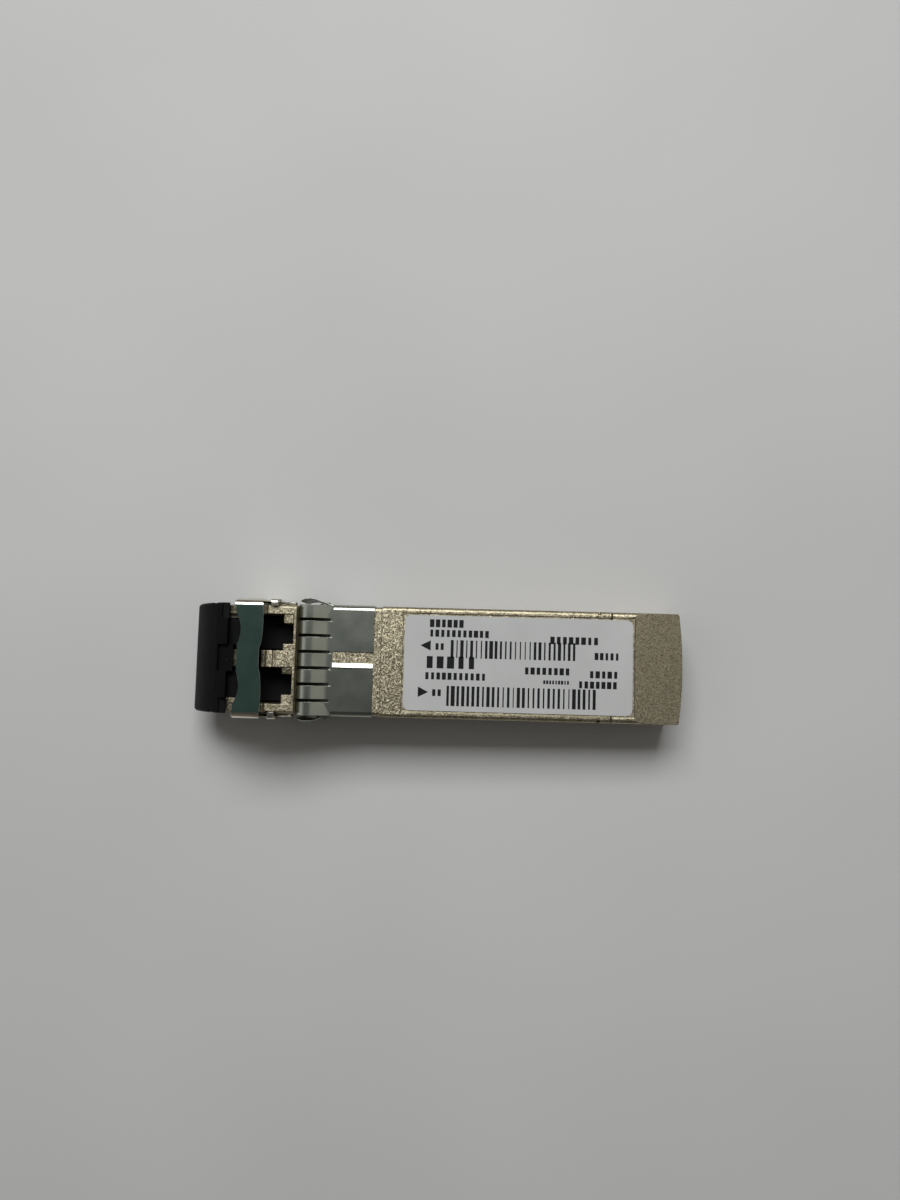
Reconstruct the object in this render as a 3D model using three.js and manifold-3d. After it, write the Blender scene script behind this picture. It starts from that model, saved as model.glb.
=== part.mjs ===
// Pluggable optical transceiver module with twin LC ports, a bail-operated rocker latch and a dust plug.
// Millimetres. Pieces are drawn in x = distance behind the nose's front plane, y = across,
// z = height above the body's underside. The outer group then moves x so that the origin lies
// on the underside's centre line, midway along the module. Label side up, ports towards -X.
import * as THREE from 'three';
import { mergeVertices } from 'three/addons/utils/BufferGeometryUtils.js';
import Module from 'manifold-3d';

const wasm = await Module();
wasm.setup();

// ---- Driving dimensions ----
const MODULE_LENGTH = 56.5;      // nose front to the end that enters the host
const BODY_WIDTH = 13.4;
const BODY_HEIGHT = 8.5;
const BODY_EDGE_RADIUS = 0.5;
const NOSE_LENGTH = 9.9;         // what stays outside the cage
const NOSE_WIDTH = BODY_WIDTH - 0.5;
const NOSE_RISE = 1.55;          // how far the nose stands above the body's top
const WALL = 0.75;
const FLOOR = 0.9;
const ROOF = 0.8;
const SEAM_HEIGHT = 3.7;         // parting line between the two shells along the sides
const REAR_FRAME = 8.8;          // length of the closed rear frame of the lower shell
const PORT_PITCH = 6.25;
const PORT_WIDTH = 4.35;
const PORT_HEIGHT = 4.5;
const PORT_AXIS_Z = 4.55;
const PIVOT_X = 5.5;             // bail and latch pivot
const PIVOT_Z = -0.15;
const PIN_RADIUS = 0.6;
const BAIL_SHEET = 0.35;
const BAIL_BAR_FRONT = 2.56;
const BAIL_BAR_REAR = 5.8;
const LATCH_SHOULDER = NOSE_LENGTH + 1.6;     // 45.0 from the card end
const LATCH_BOSS_WIDTH = 2.6;
const LATCH_BOSS_DEPTH = 0.45;
const SHIELD_REAR = NOSE_LENGTH + 9.1;
const SHIELD_SHEET = 0.15;
const FINGER_ROOT = NOSE_LENGTH + 3.8;
const FINGER_BOW = 0.75;
const CARD_HEIGHT = 2.25;        // underside of the circuit board
const CARD_THICKNESS = 1.0;
const BOARD_FRONT = SHIELD_REAR + 2;
const CARD_EDGE = MODULE_LENGTH - 3.2;   // end of the card edge, behind the nose front
const CARD_TONGUE_WIDTH = 9.2;
const CARD_TONGUE_LENGTH = 7.8;
const CONTACT_PITCH = 0.8;
const CONTACT_WIDTH = 0.5;
const LABEL_FRONT = SHIELD_REAR + 3.7;
const LABEL_REAR = MODULE_LENGTH - 6.2;
const LABEL_WIDTH = BODY_WIDTH - 1.9;
const PLUG_REACH = 4.3;          // how far the dust plug stands out of the nose
const PLUG_BORE_RADIUS = 1.65;
const SLEEVE_RADIUS = 1.45;      // fibre receptacle inside a port

// ---- Clearances ----
const GAP = 0.05;                // between fixed neighbours
const RUNNING_GAP = 0.06;        // round the pivot pin
const MOVING_GAP = 0.25;         // beside moving pieces
const PAST = 1;                  // how far a cutting tool runs past the face that it cuts

// ---- Derived ----
const HALF_BODY = BODY_WIDTH / 2;
const HALF_NOSE = NOSE_WIDTH / 2;
const NOSE_TOP = BODY_HEIGHT + NOSE_RISE;
const PORT_FLOOR = PORT_AXIS_Z - PORT_HEIGHT / 2;
const PORT_TOP = PORT_AXIS_Z + PORT_HEIGHT / 2;
const HOLLOW_HALF = HALF_BODY - WALL;
const HOLLOW_TOP = BODY_HEIGHT - ROOF;
const BOARD_HALF = HOLLOW_HALF - 0.35;
const ARM_INNER = HALF_NOSE + MOVING_GAP + 0.1;
const ARM_OUTER = ARM_INNER + BAIL_SHEET;
const EYE_INSET = 0.2;           // how far the bail's eyes are set in from its arms
const BAR_UNDER = NOSE_TOP + 0.15;
const BAR_TOP = BAR_UNDER + BAIL_SHEET;
const EAR_FRONT = 2.2;
const EAR_REAR = 6.85;
const EAR_WIDTH = 1.55;
const ROCKER_HALF = HALF_NOSE - EAR_WIDTH - MOVING_GAP / 2;
const LATCH_POCKET_HALF = 3.15;
const LATCH_POCKET_REAR = LATCH_SHOULDER + 3.7;
const SHIELD_RECESS = 0.12;
const CARD_TOP = CARD_HEIGHT + CARD_THICKNESS;
const LEVER_UNDER = -0.93;
const LEVER_TOP = 0.95;
const PORT_CENTRES = [-PORT_PITCH / 2, PORT_PITCH / 2];

// ---- Solids from three.js shapes ----
function solid(geometry) {
  const bare = geometry.index ? geometry.toNonIndexed() : geometry.clone();
  bare.deleteAttribute('normal');
  bare.deleteAttribute('uv');
  const merged = mergeVertices(bare, 1e-4);
  return new wasm.Manifold(new wasm.Mesh({
    numProp: 3,
    vertProperties: new Float32Array(merged.attributes.position.array),
    triVerts: new Uint32Array(merged.index.array),
  }));
}

function box(x0, x1, y0, y1, z0, z1) {
  const geometry = new THREE.BoxGeometry(x1 - x0, y1 - y0, z1 - z0);
  geometry.translate((x0 + x1) / 2, (y0 + y1) / 2, (z0 + z1) / 2);
  return solid(geometry);
}

function outline(points) {
  return new THREE.Shape(points.map(([a, b]) => new THREE.Vector2(a, b)));
}

function roundedRectangle(a0, a1, b0, b1, radius) {
  const shape = new THREE.Shape();
  shape.moveTo(a0 + radius, b0);
  shape.lineTo(a1 - radius, b0);
  shape.absarc(a1 - radius, b0 + radius, radius, -Math.PI / 2, 0);
  shape.lineTo(a1, b1 - radius);
  shape.absarc(a1 - radius, b1 - radius, radius, 0, Math.PI / 2);
  shape.lineTo(a0 + radius, b1);
  shape.absarc(a0 + radius, b1 - radius, radius, Math.PI / 2, Math.PI);
  shape.lineTo(a0, b0 + radius);
  shape.absarc(a0 + radius, b0 + radius, radius, Math.PI, Math.PI * 1.5);
  return shape;
}

function prism(shape, depth, curveSegments = 6) {
  return new THREE.ExtrudeGeometry(shape, { depth, bevelEnabled: false, curveSegments });
}

// A side profile drawn in x and z, drawn out across the module from y0 to y1.
function sideProfile(shape, y0, y1, curveSegments) {
  const geometry = prism(shape, y1 - y0, curveSegments);
  geometry.rotateX(Math.PI / 2);
  geometry.translate(0, y1, 0);
  return solid(geometry);
}

// A plan outline drawn in x and y, drawn up from z0 to z1.
function planProfile(shape, z0, z1, curveSegments) {
  const geometry = prism(shape, z1 - z0, curveSegments);
  geometry.translate(0, 0, z0);
  return solid(geometry);
}

// A cross-section drawn in y and z, drawn along the module from x0 to x1.
function crossSection(shape, x0, x1, curveSegments) {
  const geometry = prism(shape, x1 - x0, curveSegments);
  const toModule = new THREE.Matrix4().makeBasis(
    new THREE.Vector3(0, 1, 0), new THREE.Vector3(0, 0, 1), new THREE.Vector3(1, 0, 0));
  geometry.applyMatrix4(toModule);
  geometry.translate(x0, 0, 0);
  return solid(geometry);
}

function rodAcross(radius, x, z, y0, y1, sides = 24) {
  const geometry = new THREE.CylinderGeometry(radius, radius, y1 - y0, sides);
  geometry.translate(x, (y0 + y1) / 2, z);
  return solid(geometry);
}

function rodAlong(radius, y, z, x0, x1, sides = 24) {
  const geometry = new THREE.CylinderGeometry(radius, radius, x1 - x0, sides);
  geometry.rotateZ(-Math.PI / 2);
  geometry.translate((x0 + x1) / 2, y, z);
  return solid(geometry);
}

function joined(...solids) {
  return solids.reduce((whole, piece) => whole.add(piece));
}

function cut(body, ...tools) {
  return tools.reduce((whole, tool) => whole.subtract(tool), body);
}

function mirroredPair(make) {
  return joined(...[-1, 1].map(make));
}

// A box given by its distances outwards from the centre line, on the side that side names.
function sideBox(side, x0, x1, inner, outer, z0, z1) {
  return box(x0, x1, Math.min(side * inner, side * outer), Math.max(side * inner, side * outer), z0, z1);
}

// ---- Scene graph ----
const module = new THREE.Group();
module.position.x = -MODULE_LENGTH / 2;

function add(name, shape, material, place = [0, 0, 0]) {
  const mesh = shape.getMesh();
  const geometry = new THREE.BufferGeometry();
  geometry.setAttribute('position', new THREE.BufferAttribute(mesh.vertProperties, 3));
  geometry.setIndex(new THREE.BufferAttribute(mesh.triVerts, 1));
  geometry.computeVertexNormals();
  const piece = new THREE.Mesh(geometry, new THREE.MeshStandardMaterial(material));
  piece.name = name;
  piece.position.set(...place);
  module.add(piece);
}

const CAST_ZINC = { color: 0xcfc9b4, roughness: 0.42, metalness: 0.9 };
const SMOOTH_ZINC = { color: 0xd8d3c0, roughness: 0.36, metalness: 0.9 };
const STAINLESS = { color: 0xdedcd2, roughness: 0.22, metalness: 1 };
const SPRING_STEEL = { color: 0xcfcfcc, roughness: 0.2, metalness: 1 };
const LATCH_STEEL = { color: 0xe6e3d8, roughness: 0.25, metalness: 1 };
const BLACK_ELASTOMER = { color: 0x17171a, roughness: 0.6, metalness: 0 };
const LABEL_FILM = { color: 0xc9ccce, roughness: 0.5, metalness: 0 };
const BOARD_GREEN = { color: 0x1f5a35, roughness: 0.5, metalness: 0 };
const GOLD = { color: 0xd9a441, roughness: 0.25, metalness: 1 };
const CHIP_BLACK = { color: 0x1c1c1e, roughness: 0.55, metalness: 0 };
const AMBER_RESIN = { color: 0xb8792c, roughness: 0.35, metalness: 0 };
const FLEX_AMBER = { color: 0xa86a1e, roughness: 0.45, metalness: 0 };
const CAN_METAL = { color: 0xc7b27a, roughness: 0.3, metalness: 1 };
const CERAMIC_TAN = { color: 0x9c8467, roughness: 0.5, metalness: 0 };
const FERRITE_GREY = { color: 0x47484a, roughness: 0.6, metalness: 0 };
const GAP_PAD = { color: 0x7d9bb0, roughness: 0.8, metalness: 0 };

// ---- Outer form shared by both shells ----
const REAR_DROP = 0.95;          // fall of the top at the rear end
const REAR_DROP_RUN = 5.95;      // starts just behind the label's recess
const REAR_RISE = 0.85;          // rise of the underside at the rear end
const REAR_RISE_RUN = 3.5;
const REAR_BOW = 0.4;            // how far the rear edge bows out
const REAR_CORNER = 0.35;

function bodyForm() {
  const section = crossSection(
    roundedRectangle(-HALF_BODY, HALF_BODY, 0, BODY_HEIGHT, BODY_EDGE_RADIUS),
    NOSE_LENGTH + GAP, MODULE_LENGTH + PAST, 4);
  const side = sideProfile(outline([
    [0, 0], [MODULE_LENGTH - REAR_RISE_RUN, 0], [MODULE_LENGTH + PAST, REAR_RISE * (1 + PAST / REAR_RISE_RUN)],
    [MODULE_LENGTH + PAST, BODY_HEIGHT - REAR_DROP * (1 + PAST / REAR_DROP_RUN)],
    [MODULE_LENGTH - REAR_DROP_RUN, BODY_HEIGHT], [0, BODY_HEIGHT],
  ]), -BODY_WIDTH, BODY_WIDTH);
  const rearCorner = MODULE_LENGTH - REAR_BOW;
  const plan = new THREE.Shape();
  plan.moveTo(0, -HALF_BODY);
  plan.lineTo(rearCorner - REAR_CORNER, -HALF_BODY);
  plan.quadraticCurveTo(rearCorner, -HALF_BODY, rearCorner, -HALF_BODY + REAR_CORNER);
  plan.quadraticCurveTo(MODULE_LENGTH + REAR_BOW, 0, rearCorner, HALF_BODY - REAR_CORNER);   // peaks at the full length
  plan.quadraticCurveTo(rearCorner, HALF_BODY, rearCorner - REAR_CORNER, HALF_BODY);
  plan.lineTo(0, HALF_BODY);
  const form = section.intersect(side).intersect(planProfile(plan, -PAST, BODY_HEIGHT + PAST, 6));
  return cut(form, shieldRecess(), labelRecess());
}

// A shallow step all round, in which the shield's flat band lies, with a narrow dark margin behind it.
const SHIELD_MARGIN = 0.9;
function shieldRecess() {
  const rear = SHIELD_REAR + SHIELD_MARGIN;
  const around = crossSection(
    roundedRectangle(-BODY_WIDTH, BODY_WIDTH, -PAST, BODY_HEIGHT + PAST, BODY_EDGE_RADIUS), NOSE_LENGTH, rear, 4);
  const kept = crossSection(roundedRectangle(
    -HALF_BODY + SHIELD_RECESS, HALF_BODY - SHIELD_RECESS, SHIELD_RECESS, BODY_HEIGHT - SHIELD_RECESS,
    BODY_EDGE_RADIUS), NOSE_LENGTH - PAST, rear + PAST, 4);
  return around.subtract(kept);
}

const LABEL_RECESS = 0.1;
const LABEL_MARGIN = 0.2;
function labelRecess() {
  const half = LABEL_WIDTH / 2 + LABEL_MARGIN;
  return box(LABEL_FRONT - LABEL_MARGIN, LABEL_REAR + LABEL_MARGIN, -half, half,
    BODY_HEIGHT - LABEL_RECESS, BODY_HEIGHT + PAST);
}

// The parting line seen from the side, from the rear frame's top down to the long straight seam.
const SEAM_GAP = 0.1;
function coverZone(grow) {
  const frame = MODULE_LENGTH - REAR_FRAME;
  return sideProfile(outline([
    [0, SEAM_HEIGHT - grow], [frame - 4.8 + grow, SEAM_HEIGHT - grow],
    [frame - 1.9 + grow, SEAM_HEIGHT + 3.1], [frame - 1.95 + grow, SEAM_HEIGHT + 3.58],
    [frame - 1.6 + grow, HOLLOW_TOP + 0.1 - grow], [frame + grow, HOLLOW_TOP + 0.1 - grow],
    [frame + grow, BODY_HEIGHT + PAST], [0, BODY_HEIGHT + PAST],
  ]), -BODY_WIDTH, BODY_WIDTH);
}

function hollow() {
  return box(0, MODULE_LENGTH + PAST, -HOLLOW_HALF, HOLLOW_HALF, FLOOR, HOLLOW_TOP);
}

// ---- Lower shell: floor, lower walls, rear frame and board ledges ----
const REAR_MOUTH_DEPTH = 4.0;
const REAR_MOUTH_HALF = 5.3;
const REAR_MOUTH_TOP = 7.0;
const CONNECTOR_CLEAR = MODULE_LENGTH - 10.4;    // the underside is open behind here for the host's connector
const LEDGE_FRONT = BOARD_FRONT + 0.5;
const LEDGE_WIDTH = 0.8;

function baseHousing() {
  const rearSolid = box(MODULE_LENGTH - REAR_MOUTH_DEPTH, MODULE_LENGTH + PAST,
    -HOLLOW_HALF, HOLLOW_HALF, FLOOR, HOLLOW_TOP);
  const rearMouth = box(MODULE_LENGTH - REAR_MOUTH_DEPTH - PAST, MODULE_LENGTH + 2 * PAST,
    -REAR_MOUTH_HALF, REAR_MOUTH_HALF, -PAST, REAR_MOUTH_TOP);
  const form = bodyForm().subtract(hollow().subtract(rearSolid));
  const shell = cut(form, coverZone(SEAM_GAP), rearMouth,
    box(CONNECTOR_CLEAR, MODULE_LENGTH + PAST, -REAR_MOUTH_HALF, REAR_MOUTH_HALF, -PAST, CARD_HEIGHT - 0.1),
    box(0, LATCH_POCKET_REAR, -LATCH_POCKET_HALF, LATCH_POCKET_HALF, -PAST, FLOOR + PAST));
  const ledges = mirroredPair(side => sideBox(side, LEDGE_FRONT, CONNECTOR_CLEAR - 1,
    HOLLOW_HALF - LEDGE_WIDTH, HOLLOW_HALF + GAP, FLOOR - GAP, CARD_HEIGHT - GAP));
  const stops = mirroredPair(side => sideBox(side, LATCH_POCKET_REAR + GAP, LATCH_POCKET_REAR + 1.2,
    HOLLOW_HALF - 0.6, HOLLOW_HALF + GAP, FLOOR - GAP, SEAM_HEIGHT - 1));
  return joined(shell, ledges, stops);
}

// ---- Upper shell: roof and upper walls, with a pedestal that takes heat from the chips ----
const PEDESTAL = { x0: BOARD_FRONT + 3, x1: BOARD_FRONT + 8.5, half: 4.6, z: 5.2 };
const SEAM_GROOVE = 0.5;
const SEAM_GROOVE_DEPTH = 0.25;

function topCover() {
  const form = bodyForm().subtract(hollow()).intersect(coverZone(0));
  const pedestal = box(PEDESTAL.x0, PEDESTAL.x1, -PEDESTAL.half, PEDESTAL.half, PEDESTAL.z, HOLLOW_TOP + GAP);
  const grooves = mirroredPair(side => sideBox(side, SHIELD_REAR + SHIELD_MARGIN,
    MODULE_LENGTH - REAR_FRAME - 5.6, HALF_BODY - SEAM_GROOVE_DEPTH, BODY_WIDTH,
    SEAM_HEIGHT - PAST, SEAM_HEIGHT + SEAM_GROOVE));
  const notches = mirroredPair(side => sideBox(side, MODULE_LENGTH - 10.5, MODULE_LENGTH - 10.1,
    HALF_BODY - 0.3, BODY_WIDTH, BODY_HEIGHT - 0.5, BODY_HEIGHT + PAST));
  return joined(form.subtract(grooves).subtract(notches), pedestal);
}

// ---- Nose: three prongs round the two ports, ears for the pivot, and a collar inside the body ----
const FRONT_SLOPE = [[0, 1.3], [0.25, 1.05], [2.2, 0.2]];   // x, and distance below the body's top
const COLLAR_LENGTH = LATCH_POCKET_REAR - NOSE_LENGTH;
const COLLAR_FLOOR = 1.9;
const PORT_BACK = NOSE_LENGTH - 0.4;
const CATCH_FRONT = NOSE_LENGTH - 1.6;
const CATCH_CENTRE = 0.8;        // reach of the centre prong's catches
const CATCH_OUTER = 1.1;         // reach of the outer prongs' catches
const CENTRE_PRONG_HALF = (PORT_PITCH + 0.1 - PORT_WIDTH) / 2;

function noseSide() {
  const slope = FRONT_SLOPE.map(([x, below]) => [x, BODY_HEIGHT - below]);
  const shape = outline([
    [0, 1.1], [EAR_FRONT - 0.05, 1.1], [EAR_FRONT, PIVOT_Z - 0.35],
    [PIVOT_X - 1.2, PIVOT_Z - 0.75], [PIVOT_X - 0.5, PIVOT_Z - 1.0], [PIVOT_X + 0.5, PIVOT_Z - 1.0],
    [EAR_REAR, PIVOT_Z - 0.4], [EAR_REAR, COLLAR_FLOOR - GAP], [NOSE_LENGTH, COLLAR_FLOOR - GAP],
    [NOSE_LENGTH, NOSE_TOP - 0.12], [NOSE_LENGTH - 0.12, NOSE_TOP], [BAIL_BAR_REAR + 0.6, NOSE_TOP],
    [BAIL_BAR_REAR + 0.3, NOSE_TOP - 0.45], [4.6, NOSE_TOP - 0.5],
    ...slope.reverse(),
  ]);
  return shape;
}

function noseBlock() {
  const section = crossSection(roundedRectangle(
    -HALF_NOSE, HALF_NOSE, -2 * BODY_EDGE_RADIUS - 2, NOSE_TOP, 0.35), 0, NOSE_LENGTH, 3);
  let nose = sideProfile(noseSide(), -NOSE_WIDTH, NOSE_WIDTH).intersect(section);
  const betweenEars = box(-PAST, EAR_REAR + PAST, -HALF_NOSE + EAR_WIDTH, HALF_NOSE - EAR_WIDTH, -3, 1.15);
  const rearChannel = box(EAR_REAR - GAP, NOSE_LENGTH + PAST, -NOSE_WIDTH, NOSE_WIDTH, -3, COLLAR_FLOOR - 0.05);
  nose = cut(nose, betweenEars, rearChannel);

  const collar = crossSection(roundedRectangle(-HOLLOW_HALF + GAP, HOLLOW_HALF - GAP,
    COLLAR_FLOOR, HOLLOW_TOP - GAP, 0.2), NOSE_LENGTH - 0.5, NOSE_LENGTH + COLLAR_LENGTH, 2);
  nose = nose.add(collar);

  for (const y of PORT_CENTRES) {
    const side = Math.sign(y);
    const half = PORT_WIDTH / 2;
    const centre = y + side * 0.05;
    const well = box(-PAST, PORT_BACK, centre - half, centre + half, PORT_FLOOR, NOSE_TOP + PAST);
    const catchCentre = sideBox(side, CATCH_FRONT, PORT_BACK + 0.1, CENTRE_PRONG_HALF - GAP,
      CENTRE_PRONG_HALF + CATCH_CENTRE, PORT_TOP + 0.2, NOSE_TOP - 0.1);
    const catchOuter = sideBox(side, CATCH_FRONT, PORT_BACK + 0.1, CENTRE_PRONG_HALF + PORT_WIDTH - CATCH_OUTER,
      CENTRE_PRONG_HALF + PORT_WIDTH + GAP, PORT_TOP + 0.2, NOSE_TOP - 0.1);
    const guide = sideBox(side, 0.6, 2.6, CENTRE_PRONG_HALF + PORT_WIDTH - 0.5,
      CENTRE_PRONG_HALF + PORT_WIDTH + GAP, PORT_TOP + 0.2, BODY_HEIGHT - 1.1);
    const sleeveBore = rodAlong(SLEEVE_RADIUS + 0.25, y, PORT_AXIS_Z, PORT_BACK - PAST,
      NOSE_LENGTH + COLLAR_LENGTH + PAST);
    nose = nose.subtract(well).add(catchCentre).add(catchOuter).add(guide).subtract(sleeveBore);
  }

  const topNotch = box(7.1, 7.35, -CENTRE_PRONG_HALF - PAST / 2, CENTRE_PRONG_HALF + PAST / 2,
    NOSE_TOP - 0.25, NOSE_TOP + PAST);
  const sideCuts = mirroredPair(side => joined(
    sidePocket(side), diagonalSlot(side)));
  const pinHole = rodAcross(PIN_RADIUS + GAP, PIVOT_X, PIVOT_Z, -NOSE_WIDTH, NOSE_WIDTH);
  return cut(nose, topNotch, sideCuts, pinHole);
}

// The rounded pocket near the front of each side face.
function sidePocket(side) {
  const shape = roundedRectangle(0.55, 2.35, 3.45, 5.6, 0.45);
  return side > 0 ? sideProfile(shape, HALF_NOSE - 0.3, NOSE_WIDTH, 3)
    : sideProfile(shape, -NOSE_WIDTH, -HALF_NOSE + 0.3, 3);
}

// The slanting slot in each side face behind the bail's tongue.
function diagonalSlot(side) {
  const shape = outline([[7.6, 5.95], [9.1, 5.15], [9.45, 4.75], [9.25, 4.4], [8.8, 4.45], [7.3, 5.3]]);
  return side > 0 ? sideProfile(shape, HALF_NOSE - 0.35, NOSE_WIDTH)
    : sideProfile(shape, -NOSE_WIDTH, -HALF_NOSE + 0.35);
}

// ---- Rocker latch: presses on the cage's catch and lifts clear when the bail opens ----
const ROCKER_FRONT_BLOCK = 1.8;
const ROCKER_TOP = 0.6;
const TAIL_FRONT = EAR_REAR + 0.2;
const TAIL_REAR = NOSE_LENGTH - 0.2;
const RAMP_REAR = 8.1;
const BOSS_RUN = 2.0;

function latchLever() {
  const frontBlock = sideProfile(outline([
    [0.05, LEVER_UNDER + 0.2], [0.2, LEVER_UNDER], [ROCKER_FRONT_BLOCK, LEVER_UNDER],
    [ROCKER_FRONT_BLOCK, LEVER_TOP - 0.05], [0.05, LEVER_TOP - 0.05],
  ]), -HALF_NOSE + 0.05, HALF_NOSE - 0.05);
  const rocker = box(ROCKER_FRONT_BLOCK - 0.3, TAIL_FRONT + 0.3, -ROCKER_HALF, ROCKER_HALF, LEVER_UNDER, ROCKER_TOP);
  const tail = sideProfile(outline([
    [TAIL_FRONT, LEVER_UNDER + 0.11], [RAMP_REAR, 0.02], [TAIL_REAR, 0.02],
    [TAIL_REAR, LEVER_TOP], [TAIL_FRONT, LEVER_TOP],
  ]), -HALF_NOSE + 0.05, HALF_NOSE - 0.05);
  const rampCore = sideProfile(outline([
    [ROCKER_FRONT_BLOCK, LEVER_UNDER], [TAIL_FRONT - 0.1, LEVER_UNDER], [RAMP_REAR, 0.02],
    [TAIL_REAR, 0.02], [TAIL_REAR, ROCKER_TOP], [ROCKER_FRONT_BLOCK, ROCKER_TOP],
  ]), -ROCKER_HALF, ROCKER_HALF);
  const tongue = box(TAIL_REAR - 0.3, LATCH_SHOULDER + BOSS_RUN + 0.6,
    -LATCH_POCKET_HALF + MOVING_GAP, LATCH_POCKET_HALF - MOVING_GAP, 0.02, LEVER_TOP - 0.05);
  const bossSide = sideProfile(outline([
    [LATCH_SHOULDER, 0.3], [LATCH_SHOULDER, -LATCH_BOSS_DEPTH], [LATCH_SHOULDER + 0.5, -LATCH_BOSS_DEPTH],
    [LATCH_SHOULDER + BOSS_RUN, 0.02], [LATCH_SHOULDER + BOSS_RUN, 0.3],
  ]), -LATCH_BOSS_WIDTH / 2, LATCH_BOSS_WIDTH / 2);
  const bossPlan = planProfile(outline([
    [LATCH_SHOULDER, -LATCH_BOSS_WIDTH / 2], [LATCH_SHOULDER + 0.7, -LATCH_BOSS_WIDTH / 2],
    [LATCH_SHOULDER + BOSS_RUN, -0.4], [LATCH_SHOULDER + BOSS_RUN, 0.4],
    [LATCH_SHOULDER + 0.7, LATCH_BOSS_WIDTH / 2], [LATCH_SHOULDER, LATCH_BOSS_WIDTH / 2],
  ]), -PAST, PAST);
  const springSeat = box(-PAST, TAIL_FRONT + 0.1, -SPRING_HALF - 0.2, SPRING_HALF + 0.2, ROCKER_TOP, PAST + LEVER_TOP);
  const tailSeat = box(TAIL_FRONT - 0.5, TAIL_REAR - 0.9, -SPRING_HALF - 0.2, SPRING_HALF + 0.2,
    ROCKER_TOP, PAST + LEVER_TOP);
  const bore = rodAcross(PIN_RADIUS + RUNNING_GAP, PIVOT_X, PIVOT_Z, -NOSE_WIDTH, NOSE_WIDTH);
  return cut(joined(frontBlock, rocker, tail, rampCore, tongue, bossSide.intersect(bossPlan)),
    springSeat, tailSeat, bore);
}

// ---- Latch spring: a leaf between the nose floor and the rocker, with two legs over the front edge ----
const SPRING_SHEET = 0.12;
const SPRING_HALF = 2.6;
const SPRING_Z = 0.92;
const LEG_HALF = 0.45;
const LEG_CENTRE = 1.9;

function latchSpring() {
  const leaf = box(0.4, 6.6, -SPRING_HALF, SPRING_HALF, SPRING_Z, SPRING_Z + SPRING_SHEET);
  const legShape = outline([
    [0.6, SPRING_Z], [0.6, SPRING_Z + SPRING_SHEET], [-0.1, SPRING_Z + SPRING_SHEET],
    [-0.32, SPRING_Z - 0.1], [-0.36, 0.35], [-0.26, 0.05], [-0.1, -0.05], [-0.1, 0.1], [-0.18, 0.16],
    [-0.24, 0.38], [-0.2, SPRING_Z - 0.14], [-0.06, SPRING_Z],
  ]);
  const legs = mirroredPair(side => sideProfile(legShape,
    side * LEG_CENTRE - LEG_HALF, side * LEG_CENTRE + LEG_HALF));
  const leafWindow = box(2.2, 5.2, -1.1, 1.1, 0, 2);
  return joined(leaf, legs).subtract(leafWindow);
}

// ---- Pivot pin ----
function pivotPin() {
  return rodAcross(PIN_RADIUS, PIVOT_X, PIVOT_Z, -ARM_OUTER + 0.1, ARM_OUTER - 0.1);
}

// ---- Bail: a bar over the ports, two arms, a sprung finger on each, and the cam tabs underneath ----
const EYE_RADIUS = 1.3;
const TAB = { x0: -1.8, x1: -0.7, z0: -1.75, z1: -1.4, inner: 2.4 };   // from the pivot
const BAR_ARC = 1.22;            // control point of the arcs cut in the bar's front edge over the ports
const BAR_FRONT_WAIST = 0.37;    // set-back of the bar's front edge between the ports
const BAR_BULGE = 0.34;          // control point of the bulges in its rear edge
const BAR_REAR_WAIST = 0.2;
const BAR_BEND = 0.9;            // outer radius of the bends from the bar to the arms
const BAR_BEND_REAR = 6.3;

function armShape() {
  const down = distance => BAR_TOP - distance;
  const shape = new THREE.Shape();
  shape.moveTo(BAIL_BAR_FRONT, BAR_TOP);
  shape.lineTo(BAIL_BAR_FRONT - 0.1, down(4.5));
  shape.lineTo(BAIL_BAR_FRONT + 0.05, down(6.1));
  shape.lineTo(PIVOT_X - 2.12, PIVOT_Z + 0.7);
  shape.lineTo(PIVOT_X - 2.0, PIVOT_Z - 0.2);
  shape.lineTo(PIVOT_X + TAB.x0, PIVOT_Z + TAB.z0);
  shape.lineTo(PIVOT_X + TAB.x1, PIVOT_Z + TAB.z0);
  shape.lineTo(PIVOT_X + 0.3, PIVOT_Z - 1.25);
  shape.absarc(PIVOT_X, PIVOT_Z, EYE_RADIUS, -1.2, 0.9);
  shape.lineTo(PIVOT_X + 1.15, PIVOT_Z + 1.65);
  shape.lineTo(8.88, down(6.0));
  shape.lineTo(8.7, down(5.55));
  shape.lineTo(8.04, down(5.3));
  shape.lineTo(6.35, down(6.55));
  shape.quadraticCurveTo(5.75, down(6.65), 5.65, down(5.75));
  shape.quadraticCurveTo(5.7, down(5.1), 6.3, down(5.05));
  shape.lineTo(7.3, down(4.65));
  shape.quadraticCurveTo(7.78, down(4.2), 7.78, down(3.45));
  shape.lineTo(7.88, down(1.0));
  shape.quadraticCurveTo(7.9, down(0.25), 7.5, down(0.0));
  shape.lineTo(6.75, BAR_TOP);
  shape.lineTo(6.62, down(3.5));
  shape.quadraticCurveTo(6.58, down(3.8), 6.3, down(3.8));
  shape.quadraticCurveTo(6.02, down(3.8), 6.0, down(3.5));
  shape.lineTo(BAIL_BAR_REAR, down(BAR_BEND + GAP));
  shape.lineTo(BAIL_BAR_REAR, BAR_TOP);
  return shape;
}

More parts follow.
